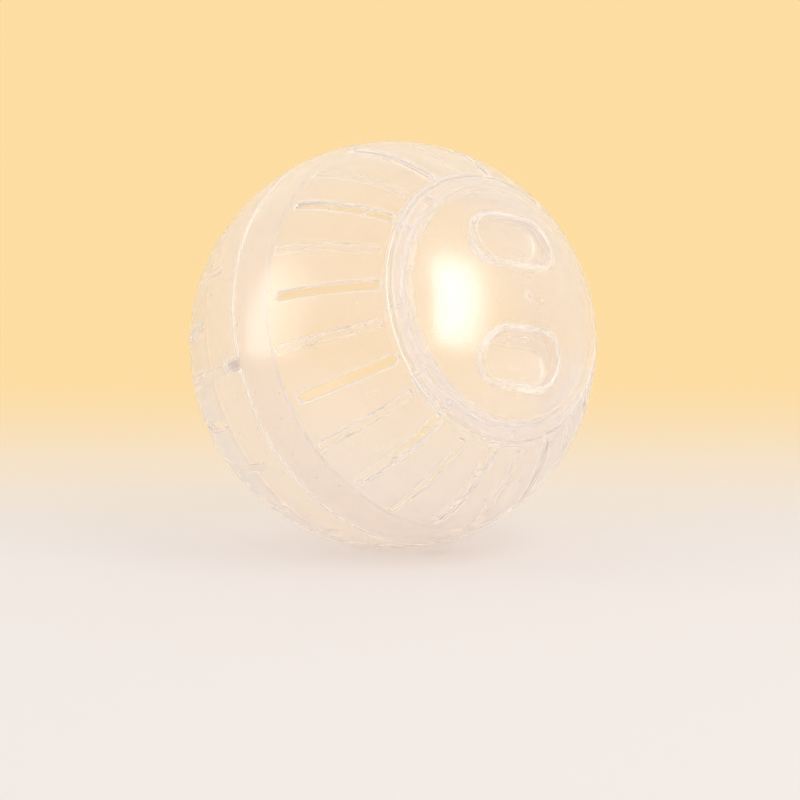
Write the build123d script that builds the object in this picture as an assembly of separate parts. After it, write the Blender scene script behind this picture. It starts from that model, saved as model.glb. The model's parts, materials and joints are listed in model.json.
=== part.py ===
import math
import os

from build123d import *

os.makedirs("parts", exist_ok=True)

# Lengths in millimetres, angles in degrees. Arc lengths run along the ball's outer surface.
# Latitude is counted from the seam, positive toward the lid.

# Ball
ball_diameter = 120.0
wall_thickness = 1.6
fit_clearance = 0.35
rest_tilt_angle = 18.9

# Seam between the halves
seam_gap = 0.3
lip_height = 12.3
lip_root_length = 16.0
lip_thickness = 1.3
tongue_count = 4
tongue_width = 3.2
tongue_length = 5.6
tongue_clearance = 0.4

# Door opening in the front half
door_latitude = 48.6
door_gap = 1.05
seat_width = 1.6
ledge_width = 4.7
edge_round = 0.45

# Air slots
slot_count = 12
slot_width = 2.7
slot_seam_gap = 17.3
slot_door_gap = 2.3
slot_edge_round = 0.4

# Tread ribs on the inside
rib_count = 12
rib_width = 2.6
rib_height = 1.1
rib_lip_gap = 2.3
rear_rib_seam_gap = 9.0
rib_door_gap = 3.1
rib_round_share = 0.7

# Bayonet of the lid
skirt_thickness = 1.5
lug_count = 4
lug_length = 9.4
lug_reach = 2.8
lug_thickness = 1.5
lug_first_angle = 4.0
lock_angle = 30.0
notch_clearance = 1.2
stop_length = 1.2
stop_gap = 0.6
stop_height = 1.6

# Finger recesses of the lid
recess_length = 28.2
recess_height = 15.0
recess_depth = 6.2
recess_rim_gap = 7.45
recess_taper_angle = 20.0
recess_turn_angle = 12.2
recess_floor_round = 1.2
recess_mouth_round = 0.5

# Gate mark on the lid
gate_radius = 1.3
gate_height = 0.25

# Derived values
right_angle = 90.0
full_angle = 360.0
ball_radius = ball_diameter / 2
inner_radius = ball_radius - wall_thickness
wall_middle = ball_radius - wall_thickness / 2


def arc_angle(length, radius=ball_radius):
    """Angle that an arc of a length spans on a circle."""
    return math.degrees(length / radius)


def latitude_at(distance, radius):
    """Latitude where a sphere of a radius stands a distance from the axis."""
    return math.degrees(math.acos(distance / radius))


def meridian_point(radius, latitude):
    angle = math.radians(latitude)
    return (radius * math.cos(angle), radius * math.sin(angle))


lip_outer = inner_radius - fit_clearance
lip_inner = lip_outer - lip_thickness
lip_latitude = arc_angle(lip_height)
lip_root_latitude = arc_angle(lip_root_length)
seam_gap_latitude = arc_angle(seam_gap)
tongue_latitude = arc_angle(tongue_length)
notch_depth = meridian_point(ball_radius, tongue_latitude)[1] + tongue_clearance
notch_width = tongue_width + 2 * tongue_clearance
notch_floor = lip_outer - fit_clearance / 2

door_radius, door_level = meridian_point(ball_radius, door_latitude)
seat_latitude = door_latitude - arc_angle(seat_width)
lid_latitude = door_latitude + arc_angle(door_gap)
ledge_top = inner_radius - fit_clearance
ledge_bottom = ledge_top - wall_thickness
ledge_bore = door_radius - ledge_width

slot_low_latitude = arc_angle(slot_seam_gap)
slot_high_latitude = door_latitude - arc_angle(slot_door_gap)
rib_radius = inner_radius - rib_height
rib_round = rib_height * rib_round_share
front_rib_latitude = lip_latitude + arc_angle(rib_lip_gap)
rear_rib_latitude = arc_angle(rear_rib_seam_gap)
rib_high_latitude = door_latitude - arc_angle(rib_door_gap)

skirt_outer = ledge_bore - fit_clearance
skirt_inner = skirt_outer - skirt_thickness
skirt_middle = (skirt_inner + skirt_outer) / 2
lug_top = ledge_bottom - fit_clearance
lug_bottom = lug_top - lug_thickness
lug_radius = skirt_outer + lug_reach
notch_radius = lug_radius + 2 * fit_clearance
skirt_bottom = math.sqrt(lug_bottom**2 - skirt_outer**2)
stop_top = ledge_bottom + wall_thickness / 2
stop_bottom = ledge_bottom - stop_height
lug_span = arc_angle(lug_length, skirt_outer)
notch_span = arc_angle(lug_length + 2 * notch_clearance, skirt_outer)
stop_span = arc_angle(stop_length, skirt_outer)
stop_shift = arc_angle(lug_length / 2 + stop_gap + stop_length / 2, skirt_outer)
open_stop_shift = stop_shift + arc_angle(notch_clearance, skirt_outer)

recess_offset = skirt_inner - recess_rim_gap - recess_height / 2
recess_surface = math.sqrt(ball_radius**2 - recess_offset**2)
recess_floor = recess_surface - recess_depth
recess_narrowing = 2 * recess_depth * math.tan(math.radians(recess_taper_angle))
floor_length = recess_length - recess_narrowing
floor_height = recess_height - recess_narrowing
recess_rise = 2 * recess_depth


def ring_face(corners, blend=None):
    """Outline in the plane of a meridian; corners are (radius, latitude) from the ball's centre.

    Corners of one radius are joined by an arc of the sphere, the others by a straight line.
    From the corner named as blend an arc runs to a corner of another radius.
    """
    with BuildSketch(Plane.XZ) as outline:
        with BuildLine():
            for start, end in zip(corners, corners[1:] + corners[:1]):
                if start[0] == end[0] or start == blend:
                    middle = ((start[0] + end[0]) / 2, (start[1] + end[1]) / 2)
                    ThreePointArc(meridian_point(*start), meridian_point(*middle), meridian_point(*end))
                else:
                    Line(meridian_point(*start), meridian_point(*end))
        make_face()
    return outline.sketch


def ring(corners, blend=None):
    """Full ring of an outline, whose closing line falls on plain wall between a rib and a slot."""
    return revolve(ring_face(corners, blend), Axis.Z).rotate(Axis.Z, full_angle / slot_count / 4)


def band_face(outer, inner, low, high):
    return ring_face([(outer, low), (outer, high), (inner, high), (inner, low)])


def band(outer, inner, low, high, span, centre):
    """Part of a spherical band between two latitudes, over a span about a meridian."""
    solid = revolve(band_face(outer, inner, low, high), Axis.Z, span)
    return solid.rotate(Axis.Z, centre - span / 2)


def sector(outer, inner, span, centre):
    """Upright sector of a ring about the ball's axis."""
    wedge = band(ball_diameter, inner / 2, 0, right_angle, span, centre)
    return (wedge & Cylinder(outer, ball_diameter)) - Cylinder(inner, ball_diameter)


def around(solid, count, first=0.0):
    """Copies of a solid at even steps round the ball's axis."""
    step = full_angle / count
    return [solid.rotate(Axis.Z, first + step * index) for index in range(count)]


def tread_rib(low_latitude):
    profile = band_face(wall_middle, rib_radius, low_latitude, rib_high_latitude)
    bar = extrude(profile, rib_width / 2, both=True)
    inner_face = bar.faces().sort_by(lambda face: face.center().length)[0]
    return fillet(inner_face.edges(), rib_round)


def air_slot():
    middle = math.radians((slot_low_latitude + slot_high_latitude) / 2)
    half_angle = math.radians((slot_high_latitude - slot_low_latitude) / 2)
    slot_length = 2 * ball_radius * math.sin(half_angle)
    outward = Vector(math.cos(middle), 0, math.sin(middle))
    along = Vector(-math.sin(middle), 0, math.cos(middle))
    start = inner_radius * math.cos(half_angle) - rib_height - lip_thickness
    plane = Plane(origin=outward * start, x_dir=along, z_dir=outward)
    return extrude(plane * SlotOverall(slot_length, slot_width), ball_radius)


def round_slots(shell):
    """Rounds the outer edges of the air slots."""
    low_level = meridian_point(ball_radius, slot_low_latitude)[1] - slot_edge_round
    high_level = meridian_point(ball_radius, slot_high_latitude)[1] + slot_edge_round
    mouths = shell.edges().filter_by(
        lambda edge: abs((edge @ 0.5).length - ball_radius) < slot_edge_round
        and low_level < abs((edge @ 0.5).Z) < high_level
        and low_level < abs((edge @ 0).Z) < high_level
    )
    return fillet(mouths, slot_edge_round)


def below_seam():
    """Everything under the seam plane but the tongues' bars."""
    block = Cylinder(ball_diameter, ball_radius).translate((0, 0, -ball_radius / 2))
    bar = Box(ball_diameter, tongue_width, ball_diameter).translate((ball_radius, 0, 0))
    return block - around(bar, tongue_count)


def front_half():
    outline = [
        (ball_radius, -tongue_latitude),
        (ball_radius, door_latitude),
        (ledge_top, door_latitude),
        (ledge_top, latitude_at(ledge_bore, ledge_top)),
        (ledge_bottom, latitude_at(ledge_bore, ledge_bottom)),
        (ledge_bottom, seat_latitude),
        (inner_radius, seat_latitude),
        (inner_radius, -tongue_latitude),
    ]
    shell = ring(outline) - below_seam()
    shell = shell - around(air_slot(), slot_count, full_angle / slot_count / 2)
    shell = round_slots(shell)
    door_edge = shell.edges().filter_by(GeomType.CIRCLE)
    door_edge = door_edge.filter_by(lambda edge: abs(edge.center().Z - door_level) < edge_round)
    door_edge = door_edge.filter_by(lambda edge: abs(edge.radius - door_radius) < edge_round)
    shell = fillet(door_edge, edge_round)

    step = full_angle / lug_count
    for index in range(lug_count):
        locked = lug_first_angle + step * index
        opened = locked + lock_angle
        shell = shell - sector(notch_radius, skirt_middle, notch_span, opened)
        for centre in (locked - stop_shift, opened + open_stop_shift):
            stop = band(stop_top, stop_bottom, 0, right_angle, stop_span, centre)
            stop = (stop & Cylinder(lug_radius, ball_diameter)) - Cylinder(ledge_bore, ball_diameter)
            shell = shell + stop
    return shell + around(tread_rib(front_rib_latitude), rib_count)


def rear_half():
    lip_root = (lip_inner, 0)
    outline = [
        (ball_radius, -right_angle),
        (ball_radius, -seam_gap_latitude),
        (lip_outer, -seam_gap_latitude),
        (lip_outer, lip_latitude),
        (lip_inner, lip_latitude),
        lip_root,
        (inner_radius, -lip_root_latitude),
        (inner_radius, -right_angle),
    ]
    shell = ring(outline, blend=lip_root)
    slot = air_slot().mirror(Plane.XY)
    shell = shell - around(slot, slot_count, full_angle / slot_count / 2)
    shell = round_slots(shell)
    notch = Box(ball_diameter, notch_width, notch_depth).translate((ball_radius, 0, -notch_depth / 2))
    shell = shell - around(notch - Sphere(notch_floor), tongue_count)
    return shell + around(tread_rib(rear_rib_latitude).mirror(Plane.XY), rib_count)


def recess_block(extra, floor_level):
    """Tapered stadium block that rises from a recess's floor."""
    length = floor_length + 2 * extra
    height = floor_height + 2 * extra
    plane = Plane(origin=(0, recess_offset, floor_level))
    return extrude(plane * SlotOverall(length, height), recess_rise, taper=-recess_taper_angle)


def round_floor(block, radius):
    return fillet(block.faces().sort_by(Axis.Z)[0].edges(), radius)


def twist_lid():
    skirt_inner_foot = math.hypot(skirt_inner, skirt_bottom)
    skirt_outer_foot = math.hypot(skirt_outer, skirt_bottom)
    outline = [
        (ball_radius, lid_latitude),
        (ball_radius, right_angle),
        (inner_radius, right_angle),
        (inner_radius, latitude_at(skirt_inner, inner_radius)),
        (skirt_inner_foot, latitude_at(skirt_inner, skirt_inner_foot)),
        (skirt_outer_foot, latitude_at(skirt_outer, skirt_outer_foot)),
        (inner_radius, latitude_at(skirt_outer, inner_radius)),
        (inner_radius, lid_latitude),
    ]
    cap = ring(outline)
    rim_level = meridian_point(ball_radius, lid_latitude)[1]
    rim = cap.edges().filter_by(GeomType.CIRCLE)
    rim = rim.filter_by(lambda edge: abs(edge.center().Z - rim_level) < edge_round)
    cap = fillet(rim, edge_round)

    # The lid stands turned to where its lugs pass the notches of the ledge.
    step = full_angle / lug_count
    for index in range(lug_count):
        opened = lug_first_angle + lock_angle + step * index
        lug = band(lug_top, lug_bottom, 0, right_angle, lug_span, opened)
        lug = (lug & Cylinder(lug_radius, ball_diameter)) - Cylinder(skirt_middle, ball_diameter)
        cap = cap + lug

    pocket_wall = recess_block(wall_thickness, recess_floor - wall_thickness)
    pocket_wall = round_floor(pocket_wall, recess_floor_round + wall_thickness)
    pocket = round_floor(recess_block(0, recess_floor), recess_floor_round)
    turns = (-recess_turn_angle, full_angle / 2 - recess_turn_angle)
    for turn in turns:
        cap = cap + (pocket_wall.rotate(Axis.Z, turn) & Sphere(wall_middle))
    for turn in turns:
        cap = cap - pocket.rotate(Axis.Z, turn)
    mouth = cap.edges().filter_by(
        lambda edge: abs((edge @ 0.5).length - ball_radius) < recess_mouth_round
        and (edge @ 0.5).Z > rim_level + recess_mouth_round
        and edge.length > recess_mouth_round
    )
    cap = fillet(mouth, recess_mouth_round)

    gate = Cylinder(gate_radius, wall_thickness)
    return cap + gate.translate((0, 0, ball_radius + gate_height - wall_thickness / 2))


# Each piece is modelled about the ball's axis, then turned to the way the ball rests.
pieces = {
    "front_half_shell": front_half(),
    "rear_half_shell": rear_half(),
    "lid": twist_lid(),
}
for name, piece in pieces.items():
    placed = piece.rotate(Axis.X, right_angle - rest_tilt_angle)
    export_step(placed, os.path.join("parts", name + ".step"))
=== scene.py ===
import json
import math

import bpy
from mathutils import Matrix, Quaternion, Vector


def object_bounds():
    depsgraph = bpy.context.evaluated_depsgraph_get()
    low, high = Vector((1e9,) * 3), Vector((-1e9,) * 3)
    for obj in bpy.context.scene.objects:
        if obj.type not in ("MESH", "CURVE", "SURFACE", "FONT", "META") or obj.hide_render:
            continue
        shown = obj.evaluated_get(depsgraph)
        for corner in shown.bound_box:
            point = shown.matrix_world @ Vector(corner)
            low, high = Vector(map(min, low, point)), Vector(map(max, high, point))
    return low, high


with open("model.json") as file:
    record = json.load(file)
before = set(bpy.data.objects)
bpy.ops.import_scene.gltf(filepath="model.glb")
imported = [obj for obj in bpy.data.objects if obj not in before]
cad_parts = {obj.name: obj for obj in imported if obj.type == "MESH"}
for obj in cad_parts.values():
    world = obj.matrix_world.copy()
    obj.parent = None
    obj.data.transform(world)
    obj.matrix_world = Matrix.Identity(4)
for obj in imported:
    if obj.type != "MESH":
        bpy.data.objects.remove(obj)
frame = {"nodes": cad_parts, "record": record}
cad_box = [list(corner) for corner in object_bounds()]

# Ball, in metres, with its axis, along which the lid lifts off, and two directions square to that axis.
BALL_RADIUS = (cad_box[1][0] - cad_box[0][0]) / 2
FLOOR_Z = cad_box[0][2]
WALL = 0.0016
TONGUE_LENGTH, TONGUE_HALF_WIDTH = 0.0056, 0.0020
BALL_AXIS = Vector(frame["record"]["behaviour"]["joints"][0]["axis"])
ACROSS = Vector((1.0, 0.0, 0.0))
UPWARD = BALL_AXIS.cross(ACROSS)

# Light crosses many walls of clear plastic, so it needs many bounces, and none of them is blurred.
LIGHT_BOUNCES, DIFFUSE_BOUNCES = 64, 32

scene = bpy.context.scene
scene.view_settings.view_transform = "Standard"
scene.cycles.blur_glossy = 0.0
scene.cycles.max_bounces = LIGHT_BOUNCES
scene.cycles.transmission_bounces = LIGHT_BOUNCES
scene.cycles.glossy_bounces = LIGHT_BOUNCES
scene.cycles.diffuse_bounces = DIFFUSE_BOUNCES


# Camera, at the photograph's angle: the ball's centre lies a little above and left of the frame's middle.
AZIMUTH, ELEVATION = math.radians(-42.8), math.radians(7.4)
RADII_AWAY = 18.71
FOCAL_PX, FRAME_PX, SENSOR_MM = 3804.0, 800.0, 36.0
BALL_PX_X, BALL_PX_Y = 393.08, 344.76
CLIP_START, CLIP_END = 0.01, 200.0

distance = RADII_AWAY * BALL_RADIUS
back = Vector((
    math.sin(AZIMUTH) * math.cos(ELEVATION),
    -math.cos(AZIMUTH) * math.cos(ELEVATION),
    math.sin(ELEVATION),
))
right = Vector((math.cos(AZIMUTH), math.sin(AZIMUTH), 0.0))
up = back.cross(right)
eye = back * distance
metres_per_px = distance / FOCAL_PX
aim_right = (FRAME_PX / 2 - BALL_PX_X) * metres_per_px
aim_down = (FRAME_PX / 2 - BALL_PX_Y) * metres_per_px
target = right * aim_right - up * aim_down

camera_data = bpy.data.cameras.new("camera")
camera_data.sensor_width = SENSOR_MM
camera_data.lens = FOCAL_PX / FRAME_PX * SENSOR_MM
camera_data.clip_start = CLIP_START
camera_data.clip_end = CLIP_END
camera = bpy.data.objects.new("camera", camera_data)
camera.location = eye
camera.rotation_euler = (target - eye).to_track_quat("-Z", "Y").to_euler()
scene.collection.objects.link(camera)
scene.camera = camera


# Node trees: the results of a plain ramp, and where a Mix node, which has sockets for every type of data,
# keeps the two inputs and the output of each type.
RISING, FALLING = (0.0, 1.0), (1.0, 0.0)
MIX_PLACES = {"RGBA": (6, 7, 2), "VECTOR": (4, 5, 1)}


class Tree:
    """Short calls for building a node tree; a value may be a number or another node's socket."""

    def __init__(self, tree):
        self.tree = tree
        tree.nodes.clear()

    def add(self, kind, inputs=None, **settings):
        node = self.tree.nodes.new(kind)
        for name, value in settings.items():
            setattr(node, name, value)
        for name, value in (inputs or {}).items():
            self.put(node.inputs[name], value)
        return node

    def put(self, socket, value):
        if isinstance(value, bpy.types.NodeSocket):
            self.tree.links.new(value, socket)
        else:
            socket.default_value = value

    def math(self, operation, first, second=0.0, clamp=False):
        node = self.add("ShaderNodeMath", operation=operation, use_clamp=clamp)
        self.put(node.inputs[0], first)
        self.put(node.inputs[1], second)
        return node.outputs[0]

    def vector(self, operation, first, second=(0.0, 0.0, 0.0), output="Vector"):
        node = self.add("ShaderNodeVectorMath", operation=operation)
        self.put(node.inputs[0], first)
        self.put(node.inputs[1], second)
        return node.outputs[output]

    def along(self, vector, direction):
        return self.vector("DOT_PRODUCT", vector, direction, "Value")

    def length(self, vector):
        return self.vector("LENGTH", vector, output="Value")

    def ramp(self, value, span, result=RISING):
        """A smooth step from the first result to the second as the value crosses the span."""
        inputs = {
            "Value": value,
            "From Min": span[0],
            "From Max": span[1],
            "To Min": result[0],
            "To Max": result[1],
        }
        return self.add("ShaderNodeMapRange", inputs, interpolation_type="SMOOTHSTEP").outputs["Result"]

    def noise(self, vector, scale, detail=2.0, rough=0.5):
        inputs = {"Vector": vector, "Scale": scale, "Detail": detail, "Roughness": rough}
        return self.add("ShaderNodeTexNoise", inputs).outputs["Fac"]

    def streaks(self, vector, rotation, scale, detail, rough):
        """Noise with a scale of its own along each axis."""
        mapping = self.add("ShaderNodeMapping", {"Vector": vector, "Rotation": rotation, "Scale": scale})
        return self.noise(mapping.outputs["Vector"], 1.0, detail, rough)

    def geometry(self, output):
        return self.add("ShaderNodeNewGeometry").outputs[output]

    def mix(self, data_type, factor, first, second):
        node = self.add("ShaderNodeMix", {"Factor": factor}, data_type=data_type)
        first_place, second_place, result_place = MIX_PLACES[data_type]
        self.put(node.inputs[first_place], first)
        self.put(node.inputs[second_place], second)
        return node.outputs[result_place]

    def shader_mix(self, factor, first, second):
        node = self.add("ShaderNodeMixShader")
        for socket, value in zip(node.inputs, (factor, first.outputs[0], second.outputs[0])):
            self.put(socket, value)
        return node

    def not_scattered(self):
        """1 on a path that no dull surface has scattered yet."""
        times_scattered = self.add("ShaderNodeLightPath").outputs["Diffuse Depth"]
        return self.math("LESS_THAN", times_scattered, 1.0)

    def finish(self, shader, kind="ShaderNodeOutputMaterial"):
        self.put(self.add(kind).inputs["Surface"], shader.outputs[0])


# Hairline scratches: how long they are for their density, how thin, and how they break into patches.
STREAK_SHARE, STREAK_DETAIL, STREAK_ROUGH = 0.06, 1.0, 0.4
NOISE_MIDDLE, LINE_SPAN = 0.5, (0.0, 0.012)
PATCH_SHARE, PATCH_FADE = 0.10, 0.12


def hairlines(t, place, rotation, density, cut):
    """Fine scratches: thin ridges of a stretched noise, broken up by a broad one."""
    scale = (density * STREAK_SHARE, density, density)
    streak = t.streaks(place, rotation, scale, STREAK_DETAIL, STREAK_ROUGH)
    ridge = t.math("ABSOLUTE", t.math("SUBTRACT", streak, NOISE_MIDDLE))
    line = t.ramp(ridge, LINE_SPAN, FALLING)
    patch = t.ramp(t.noise(place, density * PATCH_SHARE), (cut, cut + PATCH_FADE))
    return t.math("MULTIPLY", line, patch)


# Places on the mouldings: the poles, the edges, which are told by the cosine between a rounded normal and
# the face's own, and the seam's catches, as shares of a tongue.
POLE_RADIUS, POLE_FADE_SHARE = 0.0030, 1.1
EDGE_WIDTH, EDGE_SAMPLES, EDGE_COSINES = 0.0016, 4, (0.75, 0.99)
CATCH_CORE_SHARE, CATCH_START_SHARE, CATCH_END_SHARE = 0.5, 0.7, 0.3


def even_normal(t, place):
    """The mesh's normal, or the flat one round the ball's poles, where the mesh's is off."""
    off_axis = t.length(t.vector("CROSS_PRODUCT", place, BALL_AXIS))
    at_pole = t.ramp(off_axis, (POLE_RADIUS, POLE_FADE_SHARE * POLE_RADIUS), FALLING)
    return t.mix("VECTOR", at_pole, t.geometry("Normal"), t.geometry("True Normal"))


def moulded_edges(t, normal):
    """1 along the edges of the moulding, where its rounded normal leaves the face's own."""
    rounded = t.add("ShaderNodeBevel", {"Radius": EDGE_WIDTH}, samples=EDGE_SAMPLES).outputs["Normal"]
    return t.ramp(t.along(rounded, normal), EDGE_COSINES, FALLING)


def inner_mouldings(t, place, walls_deep):
    """1 on what stands inside the ball's wall, such as ribs, lip, ledge, skirt and pockets."""
    start, full = walls_deep
    span = (BALL_RADIUS - full * WALL, BALL_RADIUS - start * WALL)
    return t.ramp(t.length(place), span, FALLING)


def seam_catches(t, place):
    """1 in the four catches of the seam, which are painted darker and cloudier as painted shade."""
    along = t.along(place, BALL_AXIS)
    across = t.math("ABSOLUTE", t.along(place, ACROSS))
    upward = t.math("ABSOLUTE", t.along(place, UPWARD))
    off_middle = t.math("MINIMUM", across, upward)
    width = t.ramp(off_middle, (CATCH_CORE_SHARE * TONGUE_HALF_WIDTH, TONGUE_HALF_WIDTH), FALLING)
    start = t.ramp(along, (-TONGUE_LENGTH, -CATCH_START_SHARE * TONGUE_LENGTH))
    end = t.ramp(along, (-CATCH_END_SHARE * TONGUE_LENGTH, 0.0), FALLING)
    return t.math("MULTIPLY", width, t.math("MULTIPLY", start, end))


# Plastic's patterns: a slow cloud and ripple from the mould, and smears, hairlines and specks from use.
CLOUD = {"scale": 34.0, "detail": 3.0, "rough": 0.55}
RIPPLE = {"scale": 55.0, "detail": 1.0, "rough": 0.4}
SPECKS, SPECK_SPAN = {"scale": 1500.0, "detail": 0.0}, (0.80, 0.84)
SMEARS = {"rotation": (0.5, 0.2, 0.9), "scale": (60.0, 260.0, 160.0), "detail": 3.0, "rough": 0.6}
SMEAR_SPAN = (0.52, 0.80)
HAIRLINES = (
    {"rotation": (0.3, 0.8, 0.1), "density": 900.0, "cut": 0.52},
    {"rotation": (1.1, -0.4, 0.7), "density": 760.0, "cut": 0.55},
)
SEED_STEP = (0.37, 0.11, -0.23)

# Plastic's finish: the ranges that the cloud gives, and how much each pattern adds to or takes from them.
ROUGH_CLOUD, ROUGHNESS = (0.35, 0.75), (0.19, 0.23)
SMEAR_ROUGH, SCRATCH_ROUGH, EDGE_ROUGH = 0.03, 0.06, 0.20
CLEAR_CLOUD, CLEARNESS = (0.3, 0.8), (0.80, 0.74)
SPECK_HAZE, SCRATCH_HAZE, CATCH_SHADE_HAZE = 0.15, 0.04, 0.30
SCRATCH_DEPTH, BUMP_STRENGTH, BUMP_HEIGHT = 0.03, 0.05, 0.0006
# Near white along the moulding's edges, a painted glint.
EDGE_GLINT_WHITE = (0.998, 0.996, 0.994, 1.0)
# The colour of the painted shade in the seam's catches.
CATCH_SHADE = (0.80, 0.76, 0.73, 1.0)
SHEEN_TINT = (1.0, 0.94, 0.88, 1.0)


def clear_plastic(name, seed, tints, edge_glint_haze, inner_haze, inner_rough, walls_deep):
    """Clear, faintly milky moulded plastic with fine scuffs, a slow ripple, and edges painted whiter and
    hazier as a painted glint.
    """
    material = bpy.data.materials.new(name)
    material.use_nodes = True
    t = Tree(material.node_tree)
    centred = t.add("ShaderNodeTexCoord").outputs["Object"]
    place = t.vector("ADD", centred, tuple(seed * step for step in SEED_STEP))

    cloud = t.noise(place, **CLOUD)
    smear = t.ramp(t.streaks(place, **SMEARS), SMEAR_SPAN)
    scratch = t.math("MAXIMUM", *[hairlines(t, place, **lines) for lines in HAIRLINES])
    speck = t.ramp(t.noise(place, **SPECKS), SPECK_SPAN)
    normal = even_normal(t, centred)
    edge = moulded_edges(t, normal)
    inner = inner_mouldings(t, centred, walls_deep)
    catch_shade = seam_catches(t, centred)

    rough = t.ramp(cloud, ROUGH_CLOUD, ROUGHNESS)
    for mask, amount in (
        (smear, SMEAR_ROUGH),
        (scratch, SCRATCH_ROUGH),
        (edge, EDGE_ROUGH),
        (inner, inner_rough),
    ):
        rough = t.math("ADD", rough, t.math("MULTIPLY", mask, amount))

    # Haze lies on the plastic's skin, so light that travels inside the wall isn't dimmed by it.
    clear = t.ramp(cloud, CLEAR_CLOUD, CLEARNESS)
    for mask, amount in (
        # Edges lose clearness so that they show white, a painted glint.
        (edge, edge_glint_haze),
        (inner, inner_haze),
        (speck, SPECK_HAZE),
        (scratch, SCRATCH_HAZE),
        # The painted shade in the seam's catches also makes them less clear.
        (catch_shade, CATCH_SHADE_HAZE),
    ):
        clear = t.math("SUBTRACT", clear, t.math("MULTIPLY", mask, amount), clamp=True)
    clear = t.math("MAXIMUM", clear, t.geometry("Backfacing"))

    height = t.math("SUBTRACT", t.noise(place, **RIPPLE), t.math("MULTIPLY", scratch, SCRATCH_DEPTH))
    bump = t.add("ShaderNodeBump", {
        "Strength": BUMP_STRENGTH,
        "Distance": BUMP_HEIGHT,
        "Height": height,
        "Normal": normal,
    })

    # The edges are painted near white, a painted glint.
    tint = t.mix("RGBA", edge, t.mix("RGBA", cloud, *tints), EDGE_GLINT_WHITE)
    plastic = t.add("ShaderNodeBsdfPrincipled", {
        # Painted shade darkens the seam's catches.
        "Base Color": t.mix("RGBA", catch_shade, tint, CATCH_SHADE),
        "Roughness": rough,
        "IOR": 1.50,
        "Transmission Weight": clear,
        "Normal": bump.outputs["Normal"],
        "Sheen Weight": 0.30,
        "Sheen Roughness": 0.35,
        "Sheen Tint": SHEEN_TINT,
    })
    t.finish(plastic)
    return material


# Finishes: the ribs and ledges are milkier than the wall, and the lap lip, which a half covers, is clearer.
SHELL_TINTS = ((0.987, 0.965, 0.961, 1.0), (0.995, 0.963, 0.939, 1.0))
LID_TINTS = ((0.990, 0.976, 0.980, 1.0), (0.998, 0.973, 0.962, 1.0))
RIBS_DEEP, LIP_DEEP = (1.2, 2.0), (1.05, 1.15)
FINISHES = {
    "front_half_shell": clear_plastic(
        "clear_front",
        seed=1.0,
        tints=SHELL_TINTS,
        edge_glint_haze=0.75,
        inner_haze=0.28,
        inner_rough=0.25,
        walls_deep=RIBS_DEEP,
    ),
    "rear_half_shell": clear_plastic(
        "clear_rear",
        seed=2.0,
        tints=SHELL_TINTS,
        edge_glint_haze=0.20,
        inner_haze=-0.16,
        inner_rough=0.25,
        walls_deep=LIP_DEEP,
    ),
    "lid": clear_plastic(
        "clear_lid",
        seed=3.0,
        tints=LID_TINTS,
        edge_glint_haze=0.75,
        inner_haze=0.08,
        inner_rough=0.03,
        walls_deep=RIBS_DEEP,
    ),
}
for node_name, finish in FINISHES.items():
    moulding = frame["nodes"][node_name]
    moulding.data.materials.clear()
    moulding.data.materials.append(finish)


def seen_rays(t):
    """1 for rays that show the background: straight to the camera, by gloss or through the plastic."""
    light = t.add("ShaderNodeLightPath")
    seen = t.math("MAXIMUM", light.outputs["Is Camera Ray"], light.outputs["Is Glossy Ray"])
    seen = t.math("MAXIMUM", seen, light.outputs["Is Transmission Ray"])
    return t.math("MULTIPLY", seen, t.not_scattered())


# Floor: pale near the ball, turning to a warm cream behind it and, further off, all round.
NEAR = (0.912, 0.882, 0.860, 1.0)
FAR = (0.990, 0.725, 0.365, 1.0)
BEHIND_SPAN, AROUND_SPAN = (-0.04, 0.38), (0.30, 1.10)
FLOOR_HALF_SIDE = 60.0


def floor_paper():
    """Dull paper that takes the ball's shadow, and glows cream where it is far off."""
    material = bpy.data.materials.new("floor_paper")
    material.use_nodes = True
    t = Tree(material.node_tree)
    position = t.geometry("Position")
    behind = t.along(position, (-back.x, -back.y, 0.0))
    away = t.math("MAXIMUM", t.ramp(behind, BEHIND_SPAN), t.ramp(t.length(position), AROUND_SPAN))
    near = t.add("ShaderNodeBsdfDiffuse", {"Color": NEAR})
    far = t.add("ShaderNodeEmission", {"Color": FAR})
    t.finish(t.shader_mix(t.math("MULTIPLY", away, seen_rays(t)), near, far))
    return material


corners = [(-1, -1), (1, -1), (1, 1), (-1, 1)]
floor_points = [(x * FLOOR_HALF_SIDE, y * FLOOR_HALF_SIDE, FLOOR_Z) for x, y in corners]
floor_mesh = bpy.data.meshes.new("floor")
floor_mesh.from_pydata(floor_points, [], [(0, 1, 2, 3)])
floor = bpy.data.objects.new("floor", floor_mesh)
scene.collection.objects.link(floor)
floor_mesh.materials.append(floor_paper())


# World: the floor's cream at the horizon, paler overhead, around a plain studio light.
OVERHEAD = (1.0, 0.835, 0.580, 1.0)
STUDIO_LIGHT = (0.86, 0.82, 0.79, 1.0)
SKY_SPAN = (0.02, 0.55)

world = bpy.data.worlds.new("studio")
scene.world = world
world.use_nodes = True
t = Tree(world.node_tree)
rise = t.along(t.add("ShaderNodeTexCoord").outputs["Generated"], (0.0, 0.0, 1.0))
sky = t.mix("RGBA", t.ramp(rise, SKY_SPAN), FAR, OVERHEAD)
colour = t.mix("RGBA", seen_rays(t), STUDIO_LIGHT, sky)
t.finish(t.add("ShaderNodeBackground", {"Color": colour}), "ShaderNodeOutputWorld")


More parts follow.
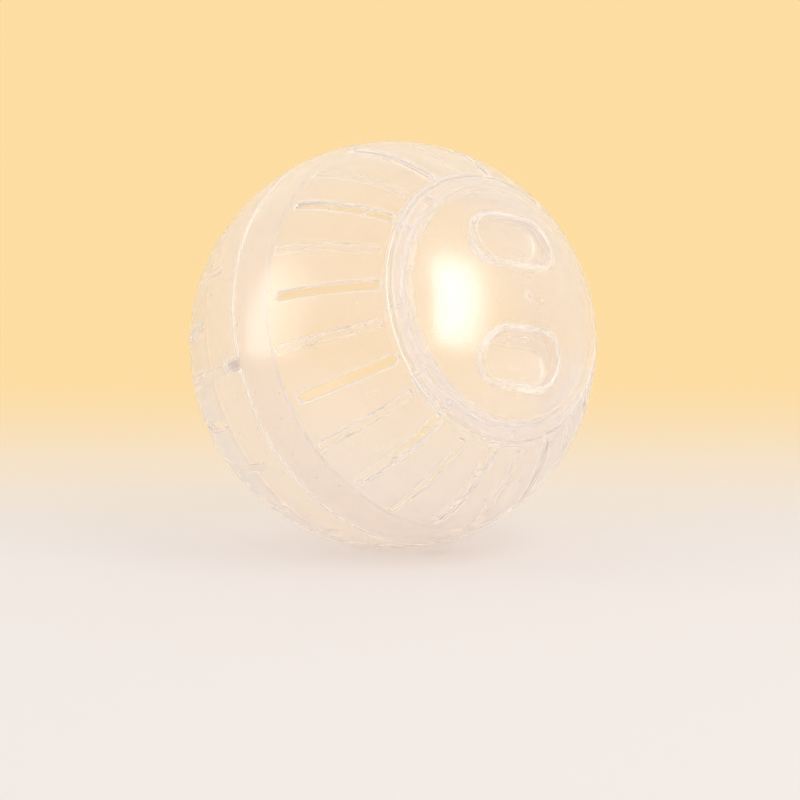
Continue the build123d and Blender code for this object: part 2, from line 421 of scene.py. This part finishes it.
# Softboxes, aimed by shares of the camera's right, up and back: two give the plain light, and two brighter
# cards, which only gloss shows, stand where their mirror images fall on the ball in the photograph.
WARM_WHITE, COOL_WHITE = (1.0, 0.980, 0.955), (0.960, 0.980, 1.0)
LAMP_DISTANCE = 0.90
KEY_AIM, FILL_AIM = (0.560, 0.600, 0.570), (-0.800, 0.550, 0.250)
KEY_CARD_AIM, FILL_CARD_AIM = (0.628, 0.376, 0.681), (-0.906, 0.224, 0.358)

# A card's fades, as shares of its width and height.
LEFT_SPAN, RIGHT_SPAN = (0.0, 0.10), (0.30, 1.0)
FOOT_SPAN, TOP_SPAN = (0.0, 0.25), (0.65, 1.0)


def softbox(name, aim, width, tall, radiance, colour, roll=0.0):
    """A rectangular lamp that faces the ball, and that neither the camera nor gloss shows."""
    data = bpy.data.lights.new(name, "AREA")
    data.shape = "RECTANGLE"
    data.size = width
    data.size_y = tall
    data.color = colour
    data.energy = radiance * math.pi * width * tall
    lamp = bpy.data.objects.new(name, data)
    spot = (right * aim[0] + up * aim[1] + back * aim[2]).normalized() * LAMP_DISTANCE
    lamp.location = spot
    turn = Quaternion((0.0, 0.0, 1.0), math.radians(roll))
    lamp.rotation_euler = ((-spot).to_track_quat("-Z", "Y") @ turn).to_euler()
    lamp.visible_camera = False
    lamp.visible_glossy = False
    scene.collection.objects.link(lamp)
    return lamp


def gloss_card(name, aim, width, tall, radiance, right_edge, roll=0.0):
    """A softbox that only gloss shows, soft at top and foot; right_edge is the light left at its right."""
    lamp = softbox(name, aim, width, tall, radiance, COOL_WHITE, roll)
    lamp.visible_glossy = True
    lamp.visible_transmission = False
    lamp.visible_diffuse = False
    lamp.data.use_nodes = True
    t = Tree(lamp.data.node_tree)
    place = t.geometry("Parametric")
    across = t.along(place, (1.0, 0.0, 0.0))
    upward = t.along(place, (0.0, 1.0, 0.0))
    strength = t.not_scattered()
    for fade in (
        t.ramp(across, LEFT_SPAN),
        t.ramp(across, RIGHT_SPAN, (1.0, right_edge)),
        t.ramp(upward, FOOT_SPAN),
        t.ramp(upward, TOP_SPAN, FALLING),
    ):
        strength = t.math("MULTIPLY", strength, fade)
    t.finish(t.add("ShaderNodeEmission", {"Strength": strength}), "ShaderNodeOutputLight")


softbox("key_softbox", KEY_AIM, width=0.50, tall=0.80, radiance=0.9, colour=WARM_WHITE)
softbox("fill_softbox", FILL_AIM, width=0.48, tall=0.60, radiance=0.5, colour=WARM_WHITE)
gloss_card("key_card", KEY_CARD_AIM, width=0.62, tall=1.04, radiance=11.0, right_edge=0.0, roll=-20.0)
gloss_card("fill_card", FILL_CARD_AIM, width=0.64, tall=1.05, radiance=4.0, right_edge=0.3)
